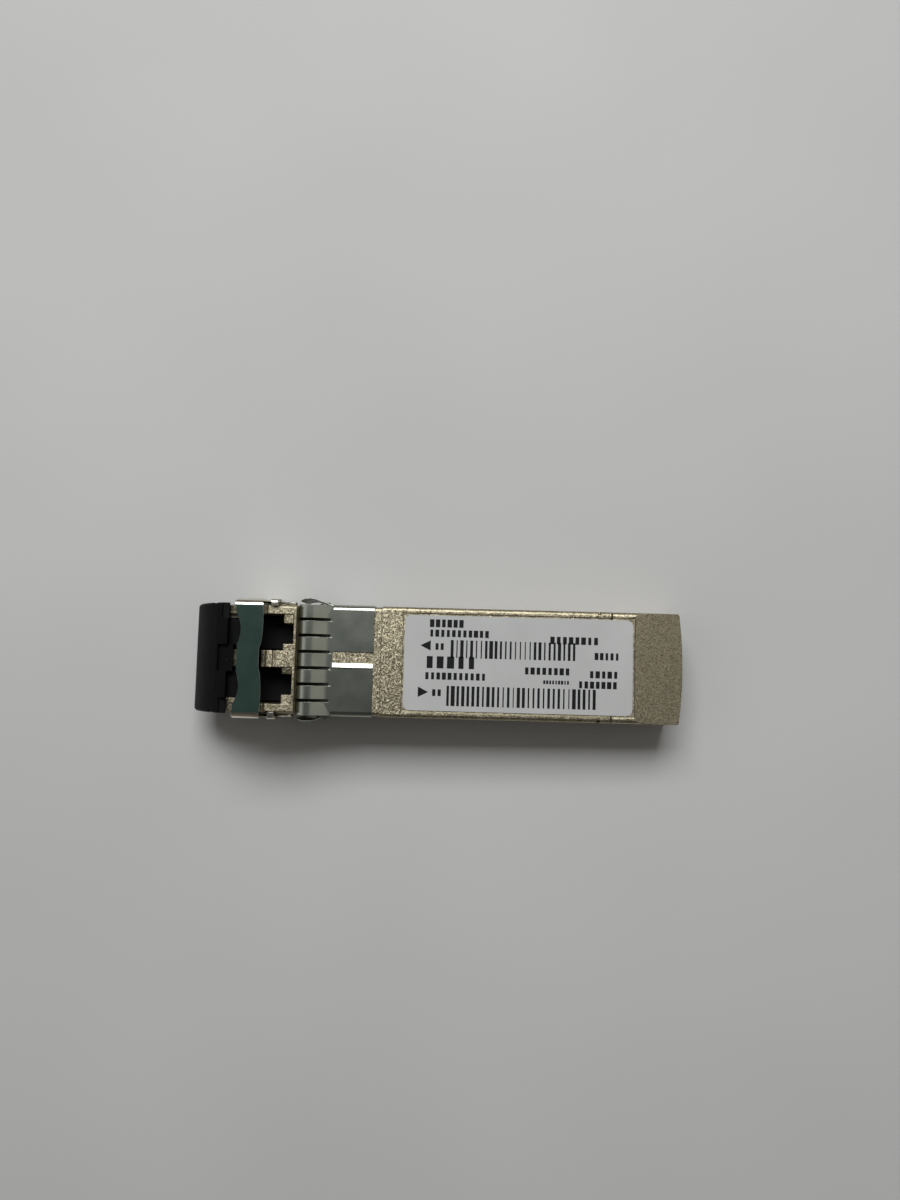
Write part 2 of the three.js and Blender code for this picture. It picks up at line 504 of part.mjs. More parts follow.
function barPlan() {
  const shape = new THREE.Shape();
  const port = PORT_PITCH / 2;
  const rearWaist = BAIL_BAR_REAR - BAR_REAR_WAIST;
  const frontWaist = BAIL_BAR_FRONT + BAR_FRONT_WAIST;
  shape.moveTo(BAIL_BAR_FRONT, -ARM_OUTER);
  shape.lineTo(BAIL_BAR_REAR, -ARM_OUTER);
  shape.quadraticCurveTo(BAIL_BAR_REAR + BAR_BULGE, -port - 1.2, BAIL_BAR_REAR, -port + 1.4);
  shape.lineTo(rearWaist, -1.2);
  shape.lineTo(rearWaist, 1.2);
  shape.lineTo(BAIL_BAR_REAR, port - 1.4);
  shape.quadraticCurveTo(BAIL_BAR_REAR + BAR_BULGE, port + 1.2, BAIL_BAR_REAR, ARM_OUTER);
  shape.lineTo(BAIL_BAR_FRONT, ARM_OUTER);
  shape.lineTo(BAIL_BAR_FRONT + 0.15, ARM_OUTER - 1.7);
  shape.quadraticCurveTo(BAIL_BAR_FRONT + BAR_ARC, port + 0.4, frontWaist, 1.6);
  shape.lineTo(frontWaist, -1.6);
  shape.quadraticCurveTo(BAIL_BAR_FRONT + BAR_ARC, -port - 0.4, BAIL_BAR_FRONT + 0.15, -ARM_OUTER + 1.7);
  return shape;
}

function bail() {
  const wide = roundedRectangle(-ARM_OUTER, ARM_OUTER, -20, BAR_TOP, BAR_BEND);
  const tight = roundedRectangle(-ARM_OUTER, ARM_OUTER, -20, BAR_TOP, 0.45);
  const bend = crossSection(wide, 0, BAR_BEND_REAR, 6).add(crossSection(tight, BAR_BEND_REAR - GAP, MODULE_LENGTH, 4));
  const inside = roundedRectangle(-ARM_INNER, ARM_INNER, -20, BAR_UNDER, BAR_BEND - BAIL_SHEET);
  const corners = mirroredPair(side => sideBox(side, BAIL_BAR_FRONT, BAIL_BAR_REAR,
    ARM_INNER - BAR_BEND + BAIL_SHEET, ARM_OUTER, BAR_UNDER - BAR_BEND + BAIL_SHEET, BAR_TOP));
  const fillets = corners.subtract(crossSection(inside, 0, BAR_BEND_REAR, 6));
  const bar = planProfile(barPlan(), BAR_UNDER, BAR_TOP, 6);
  const arms = mirroredPair(side => {
    const flat = armPlate(side, ARM_INNER, ARM_OUTER).subtract(
      rodAcross(EYE_RADIUS, PIVOT_X, PIVOT_Z, -NOSE_WIDTH, NOSE_WIDTH));
    const lower = box(0, PIVOT_X + 2, -NOSE_WIDTH, NOSE_WIDTH, -5, PIVOT_Z - 0.5);
    const eye = rodAcross(EYE_RADIUS + 0.25, PIVOT_X, PIVOT_Z, -NOSE_WIDTH, NOSE_WIDTH);
    const inset = armPlate(side, ARM_INNER - EYE_INSET, ARM_OUTER - EYE_INSET).intersect(eye.add(lower));
    return flat.add(inset);
  });
  const tabs = mirroredPair(side => sideBox(side, PIVOT_X + TAB.x0, PIVOT_X + TAB.x1,
    TAB.inner, ARM_INNER + 0.1, PIVOT_Z + TAB.z0, PIVOT_Z + TAB.z1));
  const fingerTips = mirroredPair(side => sideBox(side, 6.85, 7.6,
    HALF_NOSE - 0.15, ARM_INNER + 0.1, BAR_UNDER + 0.05, BAR_TOP));
  const holes = rodAcross(PIN_RADIUS + RUNNING_GAP, PIVOT_X, PIVOT_Z, -NOSE_WIDTH, NOSE_WIDTH);
  return joined(bar, fillets, arms, tabs, fingerTips).intersect(bend.add(
    box(0, MODULE_LENGTH, -ARM_OUTER, ARM_OUTER, -20, BAR_UNDER - 1))).subtract(holes);
}

function armPlate(side, inner, outer) {
  return side > 0 ? sideProfile(armShape(), inner, outer, 5) : sideProfile(armShape(), -outer, -inner, 5);
}

// ---- Shield: a sheet wrapped round the body, with sprung fingers that press on the cage ----
const TOP_FINGER_PITCH = 1.95;
const TOP_FINGERS = 7;
const SIDE_FINGER_PITCH = 2.1;
const SIDE_FINGERS = 4;
const FINGER_SLOT = 0.35;
const FINGER_TIP = NOSE_LENGTH + 0.05;
const SHIELD_SEAM = { low: -0.3, high: 1.05 };   // across the top, off centre
const SHIELD_CREASE = { width: 0.65, rise: 0.15 };   // raised beside the seam
const SHIELD_LATCH_HALF = 3.4;

function fingerShape(tip) {
  const apex = tip + 1.1;
  const rise = FINGER_ROOT - apex;
  const rows = [[FINGER_ROOT + 0.3, 0], [FINGER_ROOT - 0.25 * rise, FINGER_BOW * 0.24],
    [apex + 0.3 * rise, FINGER_BOW * 0.86], [apex, FINGER_BOW],
    [tip + 0.35, FINGER_BOW * 0.86], [tip, FINGER_BOW * 0.55]];
  const over = rows.map(([x, h]) => [x, h + SHIELD_SHEET]).reverse();
  return outline([...rows, ...over]);
}

function emiShield() {
  const inner = { half: HALF_BODY - SHIELD_RECESS + 0.02, low: SHIELD_RECESS - 0.02,
    high: BODY_HEIGHT - SHIELD_RECESS + 0.02 };
  const sheet = SHIELD_SHEET;
  const band = crossSection(roundedRectangle(-inner.half - sheet, inner.half + sheet,
    inner.low - sheet, inner.high + sheet, BODY_EDGE_RADIUS + sheet), FINGER_ROOT, SHIELD_REAR, 4)
    .subtract(crossSection(roundedRectangle(-inner.half, inner.half, inner.low, inner.high,
      BODY_EDGE_RADIUS), 0, MODULE_LENGTH, 4));
  const seamFront = FINGER_ROOT + 0.35;
  const seam = box(seamFront, SHIELD_REAR + PAST, SHIELD_SEAM.low, SHIELD_SEAM.high,
    BODY_HEIGHT - PAST, BODY_HEIGHT + PAST);
  const top = inner.high + sheet;
  const creaseFoot = SHIELD_SEAM.low - SHIELD_CREASE.width;
  const crease = crossSection(outline([
    [creaseFoot, top - GAP], [SHIELD_SEAM.low, top - GAP], [SHIELD_SEAM.low, top],
    [creaseFoot + 0.12, top + SHIELD_CREASE.rise], [creaseFoot, top],
  ]), seamFront, SHIELD_REAR);
  const latchWindow = box(0, LATCH_POCKET_REAR + 0.2, -SHIELD_LATCH_HALF, SHIELD_LATCH_HALF, -PAST, PAST / 2);
  const pieces = [cut(band, seam, latchWindow).add(crease)];

  const topWidth = TOP_FINGER_PITCH - FINGER_SLOT;
  for (let index = 0; index < TOP_FINGERS; index += 1) {
    const y = (index - (TOP_FINGERS - 1) / 2) * TOP_FINGER_PITCH;
    const finger = sideProfile(fingerShape(FINGER_TIP), y - topWidth / 2, y + topWidth / 2);
    pieces.push(finger.translate([0, 0, inner.high]));
    if (Math.abs(y) > SHIELD_LATCH_HALF) {
      pieces.push(finger.mirror([0, 0, 1]).translate([0, 0, inner.low]));
    }
  }
  const sideWidth = SIDE_FINGER_PITCH - FINGER_SLOT;
  for (let index = 0; index < SIDE_FINGERS; index += 1) {
    const z = BODY_HEIGHT / 2 + (index - (SIDE_FINGERS - 1) / 2) * SIDE_FINGER_PITCH;
    const tip = index === 0 ? FINGER_TIP + 1.3 : FINGER_TIP;
    const finger = planProfile(fingerShape(tip), z - sideWidth / 2, z + sideWidth / 2);
    pieces.push(finger.translate([0, inner.half, 0]));
    pieces.push(finger.mirror([0, 1, 0]).translate([0, -inner.half, 0]));
  }
  return joined(...pieces);
}

// ---- Dust plug: two hollow prongs that fill the ports, on a block with a sloping back ----
const PRONG_SIZE = 4.1;
const PRONG_END = PORT_BACK - 0.5;
const PLUG_HALF = HALF_BODY;
const PLUG_UNDER = 2.05;         // clears the open bail's sprung fingers
const PLUG_HOOD_REAR = 1.3;      // end of the hood over the prongs' fronts
const PLUG_CHAMFER = 0.25;       // on the ends of the sloping back, clear of the bends of the swinging bail
const PLUG_RECESS_HALF = 1.6;

function dustPlug() {
  const below = distance => BODY_HEIGHT - distance;
  const slope = [
    [-PLUG_REACH, PLUG_UNDER], [-3.86, below(5.0)], [-3.16, below(3.55)], [-2.2, below(2.2)],
    [-1.19, below(1.15)], [-0.2, below(0.4)], [0.6, below(-0.1)], [PLUG_HOOD_REAR, below(-0.45)],
  ];
  const drawnIn = slope.map(([x, z]) => {
    const reach = Math.hypot(x - PIVOT_X, z - PIVOT_Z);
    const share = (reach - PLUG_CHAMFER) / reach;
    return [PIVOT_X + (x - PIVOT_X) * share, PIVOT_Z + (z - PIVOT_Z) * share];
  });
  const chamfered = (points, half) =>
    sideProfile(outline([...points, [PIVOT_X, below(-0.45)], [PIVOT_X, 0]]), -half, half);
  const head = sideProfile(outline([
    ...slope,
    [PLUG_HOOD_REAR, below(0.48)], [0.25, below(0.92)], [-0.05, below(1.1)], [-0.4, below(1.3)],
    [-0.4, PLUG_UNDER],
  ]), -PLUG_HALF, PLUG_HALF).intersect(wasm.Manifold.hull([
    chamfered(slope, PLUG_HALF - PLUG_CHAMFER), chamfered(drawnIn, PLUG_HALF)]));
  const sideSteps = mirroredPair(side => joined(
    sideBox(side, 0.47, PLUG_HOOD_REAR + PAST, 4.85, BODY_WIDTH, below(0.28), BODY_HEIGHT + PAST),
    sideBox(side, -0.9, PLUG_HOOD_REAR + PAST, HALF_NOSE + GAP, BODY_WIDTH, 0, below(0.9))));
  const recess = box(0, PLUG_HOOD_REAR + PAST, -PLUG_RECESS_HALF, PLUG_RECESS_HALF, below(0.9), BODY_HEIGHT + PAST);
  const recessFloor = sideProfile(outline([
    [-0.4, below(1.3)], [-0.05, below(1.1)], [0.25, below(0.92)], [2.0, below(0.16)], [2.0, below(-0.1)],
    [0.25, below(0.62)], [-0.4, below(0.9)],
  ]), -PLUG_RECESS_HALF - GAP, PLUG_RECESS_HALF + GAP);
  const dimple = rodUp(0.3, 1.1, -0.2, below(0.35), BODY_HEIGHT + PAST);
  let plug = joined(cut(head, sideSteps, recess), recessFloor).subtract(dimple);
  for (const y of PORT_CENTRES) {
    const centre = y + Math.sign(y) * 0.05;
    const half = PRONG_SIZE / 2;
    const low = PORT_AXIS_Z - half;
    const high = PORT_AXIS_Z + half;
    plug = plug.add(crossSection(roundedRectangle(centre - half, centre + half, low, high, 0.2),
      -0.9, PRONG_END, 2));
    plug = plug.add(box(-0.6, 4.4, centre - half + 0.45, centre + half - 0.45, high - 0.3, high + 0.9));
    plug = plug.subtract(rodAlong(PLUG_BORE_RADIUS, y, PORT_AXIS_Z, 0.6, PRONG_END + PAST));
  }
  return plug;
}

// ---- Label ----
function productLabel() {
  const half = LABEL_WIDTH / 2;
  return planProfile(roundedRectangle(LABEL_FRONT, LABEL_REAR, -half, half, 0.8),
    BODY_HEIGHT - LABEL_RECESS + 0.02, BODY_HEIGHT + 0.01, 4);
}

// ---- Inside: board, contacts, chips, optical subassemblies ----
const TONGUE_ROOT = CARD_EDGE - CARD_TONGUE_LENGTH;

function circuitBoard() {
  const half = CARD_TONGUE_WIDTH / 2;
  return planProfile(outline([
    [BOARD_FRONT, -BOARD_HALF], [TONGUE_ROOT - 0.4, -BOARD_HALF], [TONGUE_ROOT, -half],
    [CARD_EDGE - 0.4, -half], [CARD_EDGE, -half + 0.4], [CARD_EDGE, half - 0.4], [CARD_EDGE - 0.4, half],
    [TONGUE_ROOT, half], [TONGUE_ROOT - 0.4, BOARD_HALF], [BOARD_FRONT, BOARD_HALF],
  ]), CARD_HEIGHT, CARD_TOP);
}

const CONTACTS_PER_SIDE = 10;
const CONTACT_THICKNESS = 0.06;
const CONTACT_STAND = 0.01;
const CONTACT_END_GAP = [0.5, 0.9, 1.3];   // ground pads reach furthest, then power, then signals
const TOP_ORDER = [0, 2, 2, 0, 1, 1, 0, 2, 2, 0];
const BOTTOM_ORDER = [0, 2, 2, 2, 2, 2, 2, 2, 0, 0];

function addContacts() {
  for (const [row, order] of [['top', TOP_ORDER], ['bottom', BOTTOM_ORDER]]) {
    for (let index = 0; index < CONTACTS_PER_SIDE; index += 1) {
      const y = (index - (CONTACTS_PER_SIDE - 1) / 2) * CONTACT_PITCH;
      const end = CARD_EDGE - CONTACT_END_GAP[order[index]];
      const z = row === 'top' ? CARD_TOP + CONTACT_STAND : CARD_HEIGHT - CONTACT_STAND - CONTACT_THICKNESS;
      const pad = box(CARD_EDGE - 4.6, end, -CONTACT_WIDTH / 2, CONTACT_WIDTH / 2, 0, CONTACT_THICKNESS);
      add(`contact_${row}_${String(index + 1).padStart(2, '0')}`, pad, GOLD, [0, y, z]);
    }
  }
}

const CHIP_HEIGHT = 0.85;
function chip(length, width, height) {
  const lid = box(-length / 2, length / 2, -width / 2, width / 2, 0, height);
  const mark = rodUp(0.18, -length / 2 + 0.5, -width / 2 + 0.5, height - 0.06, height + PAST);
  return lid.subtract(mark);
}

function rodUp(radius, x, y, z0, z1, sides = 12) {
  const geometry = new THREE.CylinderGeometry(radius, radius, z1 - z0, sides);
  geometry.rotateX(Math.PI / 2);
  geometry.translate(x, y, (z0 + z1) / 2);
  return solid(geometry);
}

function passive(length, width, height) {
  const core = box(-length / 2 + 0.1, length / 2 - 0.1, -width / 2 + 0.03, width / 2 - 0.03, 0.02, height - 0.03);
  const caps = [-1, 1].map(end => box(end > 0 ? length / 2 - 0.28 : -length / 2,
    end > 0 ? length / 2 : -length / 2 + 0.28, -width / 2, width / 2, 0, height));
  return joined(core, ...caps);
}

const OSA_FRONT = 6.4;           // tip of the fibre sleeve inside a port
const FLANGE_FRONT = LATCH_POCKET_REAR + GAP;
const FLANGE_THICKNESS = 1.2;
const FLANGE_RADIUS = 2.25;
const BARREL_RADIUS = 1.95;
const BARREL_END = FLANGE_FRONT + FLANGE_THICKNESS + 1.9;

function opticalBarrel() {
  const sleeve = rodAlong(SLEEVE_RADIUS, 0, 0, OSA_FRONT, FLANGE_FRONT + 0.3);
  const flange = rodAlong(FLANGE_RADIUS, 0, 0, FLANGE_FRONT, FLANGE_FRONT + FLANGE_THICKNESS);
  const barrel = rodAlong(BARREL_RADIUS, 0, 0, FLANGE_FRONT + FLANGE_THICKNESS - 0.1, BARREL_END);
  const bore = rodAlong(0.64, 0, 0, OSA_FRONT - PAST, FLANGE_FRONT - 1, 16);
  return cut(joined(sleeve, flange, barrel), bore);
}

const CAN_LENGTH = 1.9;
function opticalCan() {
  const header = rodAlong(2.2, 0, 0, BARREL_END + GAP, BARREL_END + GAP + 0.6);
  const rear = rodAlong(1.8, 0, 0, BARREL_END + GAP + 0.5, BARREL_END + CAN_LENGTH);
  return joined(header, rear);
}

const FLEX_SHEET = 0.15;
function flexCircuit() {
  const x = BARREL_END + CAN_LENGTH + GAP;
  const landing = CARD_TOP - PORT_AXIS_Z + 0.03;
  return sideProfile(outline([
    [x, 1.7], [x, landing + 0.5], [x + 0.25, landing + 0.1], [x + 0.7, landing],
    [BOARD_FRONT + 2.2, landing], [BOARD_FRONT + 2.2, landing + FLEX_SHEET],
    [x + 0.75, landing + FLEX_SHEET], [x + 0.36, landing + 0.24], [x + FLEX_SHEET, landing + 0.55],
    [x + FLEX_SHEET, 1.7],
  ]), -1.4, 1.4);
}

function osaRetainer() {
  const x0 = FLANGE_FRONT + FLANGE_THICKNESS + GAP;
  const plate = box(x0, x0 + 1.0, -HOLLOW_HALF + 0.1, HOLLOW_HALF - 0.1, FLOOR + GAP, HOLLOW_TOP - GAP);
  const holes = PORT_CENTRES.map(y => joined(
    rodAlong(BARREL_RADIUS + GAP, y, PORT_AXIS_Z, x0 - PAST, x0 + 2),
    box(x0 - PAST, x0 + 2, y - BARREL_RADIUS - GAP, y + BARREL_RADIUS + GAP, PORT_AXIS_Z, BODY_HEIGHT)));
  return cut(plate, ...holes);
}

// ---- Assembly ----
add('base_housing', baseHousing(), SMOOTH_ZINC);
add('top_cover', topCover(), CAST_ZINC);
add('nose_block', noseBlock(), CAST_ZINC);
add('emi_shield', emiShield(), STAINLESS);
add('bail_latch', bail(), LATCH_STEEL);
add('latch_lever', latchLever(), SMOOTH_ZINC);
add('latch_spring', latchSpring(), SPRING_STEEL);
add('pivot_pin', pivotPin(), SPRING_STEEL);
add('dust_plug', dustPlug(), BLACK_ELASTOMER);
add('product_label', productLabel(), LABEL_FILM);
add('circuit_board', circuitBoard(), BOARD_GREEN);
addContacts();

for (const [name, y] of [['transmitter', PORT_CENTRES[1]], ['receiver', PORT_CENTRES[0]]]) {
  const place = [0, y, PORT_AXIS_Z];
  add(`${name}_barrel`, opticalBarrel(), AMBER_RESIN, place);
  add(`${name}_can`, opticalCan(), CAN_METAL, place);
  add(`${name}_flex`, flexCircuit(), FLEX_AMBER, place);
}
add('barrel_retainer', osaRetainer(), SMOOTH_ZINC);

const CHIP_Z = CARD_TOP + 0.03;
add('laser_driver_chip', chip(4, 4, CHIP_HEIGHT), CHIP_BLACK, [BOARD_FRONT + 5.4, 2.4, CHIP_Z]);
add('limiting_amplifier_chip', chip(4, 4, CHIP_HEIGHT), CHIP_BLACK, [BOARD_FRONT + 5.4, -2.4, CHIP_Z]);
add('microcontroller_chip', chip(5, 5, CHIP_HEIGHT), CHIP_BLACK, [BOARD_FRONT + 13.5, 1.6, CHIP_Z]);
add('memory_chip', chip(3, 2, CHIP_HEIGHT), CHIP_BLACK, [BOARD_FRONT + 20, -2.6, CHIP_Z]);
add('thermal_pad', box(BOARD_FRONT + 3.5, BOARD_FRONT + 7.6, -4.4, 4.4, 0, PEDESTAL.z - CHIP_Z - CHIP_HEIGHT - 2 * GAP),
  GAP_PAD, [0, 0, CHIP_Z + CHIP_HEIGHT + GAP]);
[[10.5, -3.6], [12.5, -3.6], [18.5, 3.4], [21.0, 3.4]].forEach(([x, y], index) => {
  add(`coupling_capacitor_${index + 1}`, passive(1.6, 0.8, 0.8), CERAMIC_TAN, [BOARD_FRONT + x, y, CHIP_Z]);
});
[[16.2, -3.0], [22.8, 0.8]].forEach(([x, y], index) => {
  add(`power_inductor_${index + 1}`, passive(2.5, 2.0, 1.4), FERRITE_GREY, [BOARD_FRONT + x, y, CHIP_Z]);
});

export default module;
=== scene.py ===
"""Pluggable optical transceiver module: the visible pieces, their finishes, the label's generic print
and a plain studio stage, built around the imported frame.

Sizes are written in millimetres and turned to metres by MM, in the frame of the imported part: +X along
the module towards the host end, +Z out of the label side, origin on the underside midway along it."""

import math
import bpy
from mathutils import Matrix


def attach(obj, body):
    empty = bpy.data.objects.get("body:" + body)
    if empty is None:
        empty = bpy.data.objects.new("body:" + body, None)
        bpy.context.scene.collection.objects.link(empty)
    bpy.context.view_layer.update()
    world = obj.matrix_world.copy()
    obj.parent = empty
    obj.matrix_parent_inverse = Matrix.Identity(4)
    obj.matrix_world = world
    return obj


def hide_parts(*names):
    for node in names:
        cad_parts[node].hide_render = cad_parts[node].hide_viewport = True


bl_info = {
    "name": "Optical transceiver module",
    "version": (1, 0, 0),
    "blender": (4, 5, 0),
    "location": "View3D > Sidebar > Transceiver",
    "description": "Builds the visible pieces of a pluggable optical module around its frame",
    "category": "Object",
}

import bmesh
import bpy
from mathutils import Matrix, Vector

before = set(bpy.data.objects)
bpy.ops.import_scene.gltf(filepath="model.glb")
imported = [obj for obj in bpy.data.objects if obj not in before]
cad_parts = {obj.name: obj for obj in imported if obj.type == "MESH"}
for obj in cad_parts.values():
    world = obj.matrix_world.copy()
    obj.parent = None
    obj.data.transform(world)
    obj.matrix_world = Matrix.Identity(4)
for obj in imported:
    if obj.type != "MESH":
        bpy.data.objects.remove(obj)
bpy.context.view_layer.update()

MM = 0.001


# ---- Small helpers ----

def linear(hex_colour):
    """An sRGB hex colour as linear red, green and blue, with full alpha."""
    channels = [int(hex_colour[i:i + 2], 16) / 255 for i in (1, 3, 5)]
    return [c / 12.92 if c <= 0.04045 else ((c + 0.055) / 1.055) ** 2.4 for c in channels] + [1.0]


def per(millimetres):
    """The texture scale at which one feature is this many millimetres across."""
    return 1 / (millimetres * MM)


def put(tree, kind, links=None, **settings):
    """Adds a node. links gives each input, by name or number, a value or another node's output."""
    made = tree.nodes.new(kind)
    for key, value in settings.items():
        setattr(made, key, value)
    for key, value in (links or {}).items():
        socket = made.inputs[key]
        if isinstance(value, bpy.types.NodeSocket):
            tree.links.new(value, socket)
        else:
            socket.default_value = value
    return made


def ramp(tree, factor, stops):
    """A colour ramp from (position, hex colour) stops."""
    made = put(tree, "ShaderNodeValToRGB", {"Fac": factor})
    elements = made.color_ramp.elements
    while len(elements) < len(stops):
        elements.new(0.5)
    for element, (position, colour) in zip(elements, stops):
        element.position = position
        element.color = linear(colour)
    return made.outputs["Color"]


def material(name, build):
    """A material whose tree is filled by build(tree, coordinates), which returns the shader's settings."""
    made = bpy.data.materials.new(name)
    made.use_nodes = True
    tree = made.node_tree
    tree.nodes.clear()
    coordinates = put(tree, "ShaderNodeTexCoord").outputs["Object"]
    shader = put(tree, "ShaderNodeBsdfPrincipled", build(tree, coordinates))
    put(tree, "ShaderNodeOutputMaterial", {"Surface": shader.outputs[0]})
    return made


def noise(tree, coordinates, feature_mm, detail=2.0, roughness=0.5):
    """Noise whose features are about feature_mm across."""
    made = put(tree, "ShaderNodeTexNoise", {
        "Vector": coordinates, "Scale": per(feature_mm), "Detail": detail, "Roughness": roughness})
    return made.outputs["Fac"]


def stretched(tree, coordinates, scale):
    """The coordinates drawn out along an axis, for grain that has a direction."""
    return put(tree, "ShaderNodeMapping", {"Vector": coordinates, "Scale": scale}).outputs[0]


def bumped(tree, height, depth_mm, strength=1.0, normal=None):
    """A normal raised by height, whose full range is depth_mm."""
    links = {"Height": height, "Distance": depth_mm * MM, "Strength": strength}
    if normal is not None:
        links["Normal"] = normal
    return put(tree, "ShaderNodeBump", links).outputs["Normal"]


def spread(tree, factor, low, high):
    """The factor remapped to run from low to high."""
    return put(tree, "ShaderNodeMapRange", {
        "Value": factor, "To Min": low, "To Max": high}).outputs["Result"]


# ---- Finishes ----

def blasted_zinc(dark, light, grain_mm, tilt, roughness):
    """Die-cast zinc, blasted and plated: warm grey, and each grain catches the lamp at its own angle."""
    def build(tree, coordinates):
        grain = noise(tree, coordinates, grain_mm, 3.0, 0.6)
        cells = put(tree, "ShaderNodeTexVoronoi", {"Vector": coordinates, "Scale": per(grain_mm)})
        facets = put(tree, "ShaderNodeSeparateColor", {"Color": cells.outputs["Color"]}).outputs["Red"]
        mixed = put(tree, "ShaderNodeMath", {0: grain, 1: facets}, operation="ADD").outputs[0]
        tone = put(tree, "ShaderNodeMath", {0: mixed, 1: 0.5}, operation="MULTIPLY").outputs[0]
        flat = put(tree, "ShaderNodeNewGeometry").outputs["Normal"]
        off_centre = put(tree, "ShaderNodeVectorMath", {0: cells.outputs["Color"], 1: (0.5, 0.5, 0.5)},
                         operation="SUBTRACT").outputs[0]
        leaning = put(tree, "ShaderNodeVectorMath", {0: off_centre, "Scale": tilt},
                      operation="SCALE").outputs[0]
        turned = put(tree, "ShaderNodeVectorMath", {0: flat, 1: leaning}, operation="ADD").outputs[0]
        facing = put(tree, "ShaderNodeVectorMath", {0: turned}, operation="NORMALIZE").outputs[0]
        return {
            "Base Color": ramp(tree, tone, [(0.3, dark), (0.7, light)]),
            "Metallic": 1.0,
            "Roughness": spread(tree, facets, roughness - 0.08, roughness + 0.1),
            "Normal": bumped(tree, grain, grain_mm * 0.12, 0.7, facing),
        }
    return build


def rolled_sheet(dark, light, roughness, grain_scale):
    """Thin rolled steel: smooth, with faint lines along the sheet that stretch its reflections."""
    def build(tree, coordinates):
        lines = noise(tree, stretched(tree, coordinates, grain_scale), 0.12, 3.0)
        smears = noise(tree, coordinates, 2.2, 3.0)
        return {
            "Base Color": ramp(tree, smears, [(0.35, dark), (0.65, light)]),
            "Metallic": 1.0,
            "Roughness": spread(tree, smears, roughness - 0.02, roughness + 0.03),
            "Normal": bumped(tree, lines, 0.004, 0.5),
        }
    return build


def painted_green(tree, coordinates):
    """Dark green lacquer on the bail's bar: a thin glossy coat that darkens the metal under it."""
    smears = noise(tree, coordinates, 1.6, 4.0)
    specks = noise(tree, coordinates, 0.12, 2.0)
    return {
        "Base Color": ramp(tree, smears, [(0.3, "#20362f"), (0.7, "#283f37")]),
        "Metallic": 0.2,
        "Roughness": spread(tree, specks, 0.22, 0.4),
        "Coat Weight": 0.4,
        "Coat Roughness": 0.15,
        "Normal": bumped(tree, specks, 0.003, 0.6),
    }


def moulded_rubber(tree, coordinates):
    """Black thermoplastic elastomer: matte, with the fine texture of the mould."""
    pores = noise(tree, coordinates, 0.09, 3.0, 0.6)
    cloud = noise(tree, coordinates, 3.0, 3.0)
    return {
        "Base Color": ramp(tree, cloud, [(0.3, "#060607"), (0.7, "#0b0b0c")]),
        "Roughness": spread(tree, pores, 0.5, 0.68),
        "Specular IOR Level": 0.12,
        "Normal": bumped(tree, pores, 0.008, 0.5),
    }


def label_film(tree, coordinates):
    """Silver-grey polyester label film: satin, almost even, with a faint paper-like tooth."""
    tooth = noise(tree, coordinates, 0.1, 2.0)
    cloud = noise(tree, coordinates, 6.0, 2.0)
    return {
        "Base Color": ramp(tree, cloud, [(0.3, "#b5b6b4"), (0.7, "#bcbdbb")]),
        "Roughness": spread(tree, tooth, 0.42, 0.52),
        "Specular IOR Level": 0.5,
        "Normal": bumped(tree, tooth, 0.002, 0.4),
    }


def label_ink(tree, coordinates):
    """Thermal-transfer ink: near black and almost matte, a little worn in places."""
    wear = noise(tree, coordinates, 0.15, 3.0)
    return {
        "Base Color": ramp(tree, wear, [(0.3, "#08090a"), (0.8, "#17181a")]),
        "Roughness": spread(tree, wear, 0.5, 0.65),
        "Specular IOR Level": 0.2,
    }


def solder_mask(tree, coordinates):
    """Green solder mask over copper: glossy, with lighter traces and small vias showing through."""
    traces = put(tree, "ShaderNodeTexBrick", {
        "Vector": coordinates, "Scale": per(1.1), "Mortar Size": 0.06, "Mortar Smooth": 0.1,
        "Brick Width": 1.7, "Row Height": 0.55,
        "Color1": linear("#175232"), "Color2": linear("#1b5a37"), "Mortar": linear("#2f7d4f")})
    vias = put(tree, "ShaderNodeTexVoronoi", {"Vector": coordinates, "Scale": per(1.7), "Randomness": 0.8})
    hole = put(tree, "ShaderNodeMath", {0: vias.outputs["Distance"], 1: 0.11},
               operation="LESS_THAN").outputs[0]
    colour = put(tree, "ShaderNodeMix", {"Factor": hole, 6: traces.outputs["Color"], 7: linear("#c9a14a")},
                 data_type="RGBA").outputs[2]
    return {
        "Base Color": colour,
        "Roughness": 0.3,
        "Coat Weight": 0.3,
        "Normal": bumped(tree, traces.outputs["Fac"], 0.03, 0.5),
    }


def plain_finish(dark, light, roughness, metallic=0.0, feature_mm=0.3, depth_mm=0.006):
    """An even finish with a little variation in tone, gloss and surface, in features feature_mm across."""
    def build(tree, coordinates):
        grain = noise(tree, coordinates, feature_mm, 3.0)
        return {
            "Base Color": ramp(tree, grain, [(0.3, dark), (0.7, light)]),
            "Metallic": metallic,
            "Roughness": spread(tree, grain, roughness - 0.05, roughness + 0.08),
            "Normal": bumped(tree, grain, depth_mm, 0.5),
        }
    return build


def paper_surface(tree, coordinates):
    """Smooth pale grey paper with a barely visible tooth."""
    tooth = noise(tree, coordinates, 0.4, 3.0)
    cloud = noise(tree, coordinates, 60.0, 2.0)
    return {
        "Base Color": ramp(tree, cloud, [(0.3, "#c0c0be"), (0.7, "#c6c6c4")]),
        "Roughness": 0.75,
        "Specular IOR Level": 0.25,
        "Normal": bumped(tree, tooth, 0.01, 0.3),
    }


